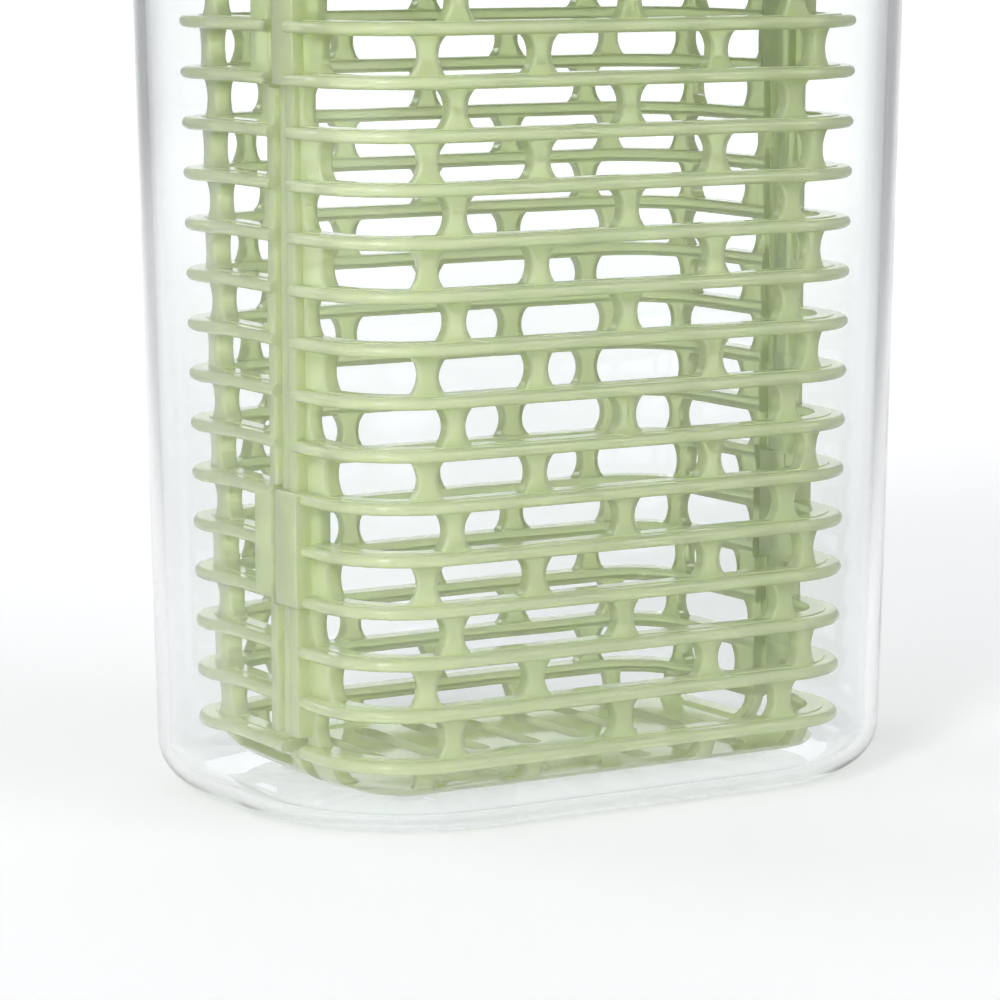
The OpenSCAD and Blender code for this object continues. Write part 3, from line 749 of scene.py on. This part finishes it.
class KEEPER_OT_basket_back(bpy.types.Operator):
    """Back half of the basket, with the hinge rod, the catch rod and the pads beside the clips"""

    bl_idname = "keeper.basket_back"
    bl_label = "Basket back"

    def execute(self, context):
        s, inset, room = context.scene.keeper_basket, 0.3 * MM, 0.6 * MM
        back_edge, gap = -s.seam_y + s.rod_r + s.seam_gap, clip_radius(s) + s.seam_gap
        low, high, clips = rod_low(s), basket_top(s), [clip_heights(s, k) for k in CLIP_RIBS]
        gaps, webs, rods = [], [], []
        for x in (-s.rod_x, s.rod_x):
            outline = box_outline((x - gap, x + gap), (-s.seam_y - gap, -s.seam_y + gap), inset)
            gaps += [prism(outline, [start - room, stop + room]) for start, stop in clips]
            webs.append(upright((x - s.rod_r / 2, x + s.rod_r / 2), (-s.seam_y, back_edge + s.flange_w / 2),
                                low + inset, high - inset, 0.2 * MM))
            rods.append(soft_prism(circle((x, -s.seam_y), s.rod_r), low, high, 0.5 * MM))
        pads = [soft_prism(self.pad(s), start + room, stop - room, 0.4 * MM) for start, stop in clips]
        lasts = [s.corner_x + s.wall_r * turn for turn in (s.even_end, s.odd_end)]
        panels = [along_at(s, -back_edge - strip) for strip in (s.even_strip, s.odd_strip)]
        extra = [("UNION", joined(flanges(s, back_edge))), ("UNION", joined(webs)),
                 ("DIFFERENCE", joined(gaps)), ("UNION", joined(rods)), ("UNION", joined(pads))]
        piece = basket_half("basket_back_half", s, -back_edge, -back_edge, s.seam_y - s.floor_gap / 2,
                            lasts, panels, 0.0, extra, mirrored)
        finished(even_shading(piece), basket_polypropylene, "basket", "basket_back")
        return {"FINISHED"}

    def pad(self, s):
        """Outline of the pad beside a hinge clip, a little behind the clip's outer face, with its back
        corner cut off at a slant."""
        out, slant = clip_radius(s) - 0.8 * MM, 1.6 * MM
        points = [(s.rod_r, 0), (s.rod_r, s.pad_w), (s.rod_r - out, s.pad_w), (-out, s.pad_w - slant),
                  (-out, 0)]
        return rounded(points, 0.4 * MM) + (-s.rod_x, -s.seam_y + clip_radius(s) + s.seam_gap)


# ----------------------------------------------------------------- container
class KEEPER_OT_container(bpy.types.Operator):
    """Clear container"""

    bl_idname = "keeper.container"
    bl_label = "Container"

    def execute(self, context):
        s = context.scene.keeper_container
        slope, draft, start = math.tan(s.draft), math.degrees(s.draft), 2 * MM
        inner_r, inner_edge, lip_z = s.corner_r - s.wall, s.edge_r - s.wall, RIM_Z - s.lip_r

        def bend(radius, z, edge, inwards):
            """Centre of a round edge that touches the wall's drafted line."""
            return radius + z * slope + inwards * edge / math.cos(s.draft), z

        rows = ((bend(s.corner_r, s.edge_r, s.edge_r, -1), s.edge_r, -90, -draft, 24),
                (bend(s.corner_r, lip_z, s.lip_r, -1), s.lip_r, -draft, 90, 8),
                (bend(inner_r, lip_z, s.lip_r, 1), s.lip_r, 90, 180 - draft, 8),
                (bend(inner_r, s.floor + inner_edge, inner_edge, -1), inner_edge, -draft, -90, 20))
        points = [arc(centre, edge, first, last, steps) for centre, edge, first, last, steps in rows]
        normals = [arc((0, 0), 1, first, last, steps) for _, _, first, last, steps in rows]
        normals[3] = -normals[3]
        profile = np.vstack([[(start, 0)], *points, [(start, s.floor)]])[:, None]
        profile_normals = np.vstack([[(0, -1)], *normals, [(0, 1)]])[:, None]
        centres, turns, eased = self.plan(s)
        piece = mesh_object("container_shell", tube(self.around(profile, turns, centres)))
        smooth_normals(piece, self.around(profile_normals, eased, 0))
        finished(piece, clear_san, "container", "container")
        return {"FINISHED"}

    def around(self, profile, turns, centres):
        """The profile's (distance, height) pairs at each turn: centre + distance (cos turn, sin turn)."""
        flat = centres + profile[..., :1] * np.stack([np.cos(turns), np.sin(turns)], -1)
        return raised(flat, profile[..., 1:])

    def plan(self, s):
        """Columns round the container, as (centres, turns of the outward normal, eased turns): 40 steps
        to each quarter turn and close steps along the straight sides. The eased turn is the mean of the
        turn over 16 mm each way along the outline, weighted by 1 + cos, so that straight sides run into
        the corners without a jump in how they bend what is seen through them."""
        quarter, ease = np.radians(np.linspace(0, 90, 41)), 16 * MM
        corners = np.array([(1, 1), (-1, 1), (-1, -1), (1, -1)]) * (s.corner_x, s.corner_y)
        centres, turns = [], []
        for k, (here, there) in enumerate(zip(corners, np.roll(corners, -1, 0))):
            share = np.linspace(0, 1, 25)[1:-1, None]
            centres += [np.broadcast_to(here, (41, 2)), here + (there - here) * share]
            turns += [quarter + k * np.pi / 2, np.full(23, (k + 1) * np.pi / 2)]
        centres, turns = np.vstack(centres), np.concatenate(turns)
        place = centres + s.corner_r * np.column_stack([np.cos(turns), np.sin(turns)])
        step = np.linalg.norm(np.roll(place, -1, 0) - place, axis=1)
        way = np.cumsum(step) - step
        around = np.concatenate([way - step.sum(), way, way + step.sum()])
        turned = np.concatenate([turns - 2 * np.pi, turns, turns + 2 * np.pi])
        shift = np.linspace(-1, 1, 33)
        weight = 1 + np.cos(np.pi * shift)
        eased = np.interp(way[:, None] + shift * ease, around, turned) @ weight / weight.sum()
        return centres, turns, eased


# ----------------------------------------------------------------------- lid
def air_slots(low, high, shift=0.0):
    """Three round-ended slots through these heights."""
    half, reach, pitch = 1.6 * MM, 5 * MM, 12 * MM
    outlines = [box_outline((x - half, x + half), (-reach, reach), half - 0.01 * MM, 8)
                for x in shift + pitch * np.array([-1, 0, 1])]
    return joined([prism(outline, [low, high]) for outline in outlines])


class KEEPER_OT_lid(bpy.types.Operator):
    """Cover, liner and seal"""

    bl_idname = "keeper.lid"
    bl_label = "Lid"

    def execute(self, context):
        s, c = context.scene.keeper_lid, context.scene.keeper_container
        roof = LID_TOP - s.wall
        finished(even_shading(self.cover(s, c, roof)), lid_abs, "lid", "lid_cover")
        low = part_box("lid_liner")[0].z
        wall_r = c.corner_r - c.wall + low * math.tan(c.draft)
        liner_r, seal_z = wall_r - s.liner_gap, (low + RIM_Z - s.seal_height) / 2
        liner = self.liner(s, c, roof, low, liner_r, seal_z)
        finished(even_shading(liner), liner_polypropylene, "lid", "lid_liner")
        seal = self.seal(s, c, liner_r, wall_r - s.seal_gap, seal_z)
        finished(even_shading(seal), seal_silicone, "lid", "lid_gasket")
        return {"FINISHED"}

    def cover(self, s, c, roof):
        """Cover: the section of its wall and roof carried round, and a tub whose recess holds the slider.
        Of the foot's round corners only the two lower ones are kept."""
        start, soft, inner_r, edge_in = 2 * MM, 0.4 * MM, s.corner_r - s.wall, s.edge_r - s.wall
        outside = arc((s.corner_r - s.edge_r, LID_TOP - s.edge_r), s.edge_r, 90, 0, 10)
        above = RIM_Z + 5 * MM
        foot = rounded([(s.corner_r, above), (s.corner_r, RIM_Z), (inner_r, RIM_Z), (inner_r, above)],
                       [0.1 * MM, soft, soft, 0.1 * MM])[4:12]
        inside = arc((inner_r - edge_in, roof - edge_in), edge_in, 0, 90, 6)
        profile = np.vstack([[(start, LID_TOP)], outside, foot, inside, [(start, roof)]])
        floor_z, lip = LID_TOP - s.recess_depth, 0.6 * MM
        x, y = s.recess_l / 2, s.recess_w / 2
        tub = box_outline((-x - s.wall, x + s.wall), (-y - s.wall, y + s.wall), s.recess_r + s.wall, 8)
        a = np.linspace(0, np.pi / 2, 7)
        recess = prism(box_outline((-x, x), (-y, y), s.recess_r, 8),
                       [floor_z, *(LID_TOP - lip + lip * np.sin(a)), LID_TOP + MM],
                       [0, *(lip * np.cos(a) - lip), -lip])
        return combined("lid_cover_shell", carried(profile, c.corner_x, c.corner_y),
                        ("UNION", prism(tub, [floor_z - s.wall, roof + s.wall / 2])), ("DIFFERENCE", recess),
                        ("DIFFERENCE", air_slots(floor_z - 2 * s.wall, floor_z + MM)))

    def liner(self, s, c, roof, low, liner_r, seal_z):
        """Liner: a tray with a groove for the seal, a ledge on the rim and a wall up to the cover. One
        point is kept of the corner at each open end of its section."""
        ledge_r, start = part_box("lid_liner")[1].x - c.corner_x, 2 * MM
        wall_r, seal_top, ledge_z = liner_r - s.groove, seal_z + s.seal_height, RIM_Z + s.ledge
        inner_r, floor_z = wall_r - s.liner_wall, low + s.liner_wall
        section = [(start, low), (liner_r, low), (liner_r, seal_z), (wall_r, seal_z), (wall_r, seal_top),
                   (liner_r, seal_top), (liner_r, RIM_Z), (ledge_r, RIM_Z), (ledge_r, ledge_z),
                   (wall_r, ledge_z), (wall_r, roof), (inner_r, roof), (inner_r, floor_z), (start, floor_z)]
        radii = np.array([0.01, 0.8, 0.1, 0.1, 0.1, 0.1, 0.2, 0.3, 0.6, 0.4, 0.3, 0.3, 1.0, 0.01]) * MM
        return combined("lid_liner_tray", carried(rounded(section, radii)[3:-3], c.corner_x, c.corner_y),
                        ("DIFFERENCE", air_slots(low - MM, low + 3 * MM)))

    def seal(self, s, c, liner_r, outer, seal_z):
        """Seal: a ring whose top and bottom fins reach the container's wall."""
        inner, middle = liner_r - s.groove + s.seal_gap, (liner_r + outer) / 2
        low, high = seal_z + s.seal_gap, seal_z + s.seal_height - s.seal_gap
        section = [(inner, low), (outer, low), (outer, low + s.fin), (middle, low + s.fin),
                   (middle, high - s.fin), (outer, high - s.fin), (outer, high), (inner, high)]
        radii = np.array([0.2, 0.39, 0.39, 0.3, 0.3, 0.39, 0.39, 0.2]) * MM
        return combined("lid_seal_ring", ring(rounded(section, radii), c.corner_x, c.corner_y))


class KEEPER_OT_vent_slider(bpy.types.Operator):
    """Slider that opens and closes the air slots"""

    bl_idname = "keeper.vent_slider"
    bl_label = "Vent slider"

    def execute(self, context):
        low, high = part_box("vent_slider")
        plate_top, grip, soft = low.z + 1.8 * MM, 3 * MM, 0.5 * MM
        plate = box_outline((low.x, high.x), (low.y, high.y), 3.7 * MM, 8)
        a, t = np.linspace(0, np.pi, 25), np.linspace(0, np.pi / 2, 6)
        end, rise = high.y - grip, soft * (1 - np.cos(t))
        y = np.concatenate([rise - end, end - rise[::-1]])
        size = (grip - soft + soft * np.sin(np.concatenate([t, t[::-1]])))[:, None]
        x, z = size * np.cos(a), np.minimum(plate_top + size * np.sin(a), high.z)
        half_round = np.stack([x, np.broadcast_to(y[:, None], x.shape), z], -1)
        piece = combined("vent_slider_plate", soft_prism(plate, low.z, plate_top, 0.4 * MM),
                         ("UNION", tube(half_round)),
                         ("DIFFERENCE", air_slots(low.z - MM, plate_top + MM, -6 * MM)))
        finished(even_shading(piece), slider_polypropylene, "vent", "vent_slider")
        return {"FINISHED"}


# --------------------------------------------------------------------- stage
class KEEPER_OT_stage(bpy.types.Operator):
    """Pale floor that curves up into a backdrop, with a painted glow behind the object, soft lights and the
    camera
    """

    bl_idname = "keeper.stage"
    bl_label = "Stage"

    def execute(self, context):
        s = context.scene.keeper_stage
        self.backdrop(s)
        self.lights(context, s)
        self.camera(context, s)
        context.scene.view_settings.view_transform = "Standard"
        return {"FINISHED"}

    def backdrop(self, s):
        """Floor and backdrop as one sheet of paper, in metres: a straight run, a quarter circle and an
        upright run, all round the object."""
        reach, bend, tall = 2.2, 0.8, 2.2
        flat, turn = [(0.001, 0.0), (0.4, 0.0), (1.0, 0.0)], arc((reach, bend), bend, -90, 0, 16)
        run = np.vstack([flat, turn, [(reach + bend, tall)]])
        a = np.linspace(0, 2 * np.pi, 96, endpoint=False)
        points = raised(run[:, :1, None] * np.stack([np.cos(a), np.sin(a)], -1), run[:, 1:, None])
        faces = grid_faces(len(run), len(a), False, True).tolist() + [list(range(len(a)))]
        sheet = mesh_object("stage_floor", (points.reshape(-1, 3), faces))
        sheet.data.shade_smooth()
        # the paper carries a painted glow behind the object, which stands in for a backlight
        sheet.data.materials.append(paper_with_painted_glow(s))

    def lights(self, context, s):
        """Soft lights as (name, place, width, height, watts), each turned to the object, and a pale
        world."""
        rows = (("key", (-1.35, -1.0, 0.85), 0.4, 1.1, 15), ("top", (0.1, 0.2, 1.9), 1.4, 1.4, 2.5),
                ("front", (0.8, -1.2, 1.0), 1.2, 0.22, 6), ("back", (-0.9, 1.3, 0.95), 1.0, 0.3, 5))
        for name, place, width, height, watts in rows:
            lamp = bpy.data.lights.new(name, "AREA")
            lamp.shape, lamp.size, lamp.size_y, lamp.energy = "RECTANGLE", width, height, watts
            holder = bpy.data.objects.new(name, lamp)
            holder.location = place
            holder.rotation_euler = (Vector((0, 0, 0.1)) - Vector(place)).to_track_quat("-Z", "Y").to_euler()
            context.scene.collection.objects.link(holder)
        world = bpy.data.worlds.new("Studio")
        world.use_nodes = True
        background = world.node_tree.nodes["Background"]
        background.inputs["Color"].default_value = (0.93, 0.95, 0.97, 1)
        background.inputs["Strength"].default_value = 0.3
        context.scene.world = world

    def camera(self, context, s):
        """Camera at the given turn and height about its target. Its shift, a share of the frame's width,
        puts the target a little right of the middle."""
        lens = bpy.data.cameras.new("camera")
        lens.lens, lens.sensor_width, lens.shift_x = s.lens, 36, -0.0217
        lens.clip_start, lens.clip_end = 0.01, 20
        holder = bpy.data.objects.new("camera", lens)
        flat = s.distance * math.cos(s.elevation)
        target = Vector((0, 0, s.target_z))
        offset = Vector((flat * math.sin(s.azimuth), -flat * math.cos(s.azimuth),
                         s.distance * math.sin(s.elevation)))
        holder.location = target + offset
        holder.rotation_euler = (-offset).to_track_quat("-Z", "Y").to_euler()
        context.scene.collection.objects.link(holder)
        context.scene.camera = holder


class KEEPER_PT_sidebar(bpy.types.Panel):
    """Lists the operators and their settings"""

    bl_idname = "KEEPER_PT_sidebar"
    bl_label = "Herb Keeper"
    bl_space_type = "VIEW_3D"
    bl_region_type = "UI"
    bl_category = "Keeper"

    def draw(self, context):
        for operator in OPERATORS:
            self.layout.operator(operator.bl_idname)
        for name, settings in SETTINGS.items():
            box = self.layout.box()
            box.label(text=settings.bl_rna.name)
            for key in settings.__annotations__:
                box.prop(getattr(context.scene, name), key)


SETTINGS = {
    "keeper_container": KeeperContainerSettings,
    "keeper_basket": KeeperBasketSettings,
    "keeper_lid": KeeperLidSettings,
    "keeper_finish": KeeperFinishSettings,
    "keeper_stage": KeeperStageSettings,
}
OPERATORS = (
    KEEPER_OT_container,
    KEEPER_OT_basket_back,
    KEEPER_OT_basket_front,
    KEEPER_OT_lid,
    KEEPER_OT_vent_slider,
    KEEPER_OT_stage,
)
CLASSES = (*SETTINGS.values(), *OPERATORS, KEEPER_PT_sidebar)


def register():
    for cls in CLASSES:
        bpy.utils.register_class(cls)
    for name, settings in SETTINGS.items():
        setattr(bpy.types.Scene, name, PointerProperty(type=settings))


def unregister():
    for name in SETTINGS:
        delattr(bpy.types.Scene, name)
    for cls in reversed(CLASSES):
        bpy.utils.unregister_class(cls)


def main():
    """Builds every piece and the stage."""
    register()
    for operator in OPERATORS:
        group, name = operator.bl_idname.split(".")
        getattr(getattr(bpy.ops, group), name)()


if __name__ == "__main__":
    main()
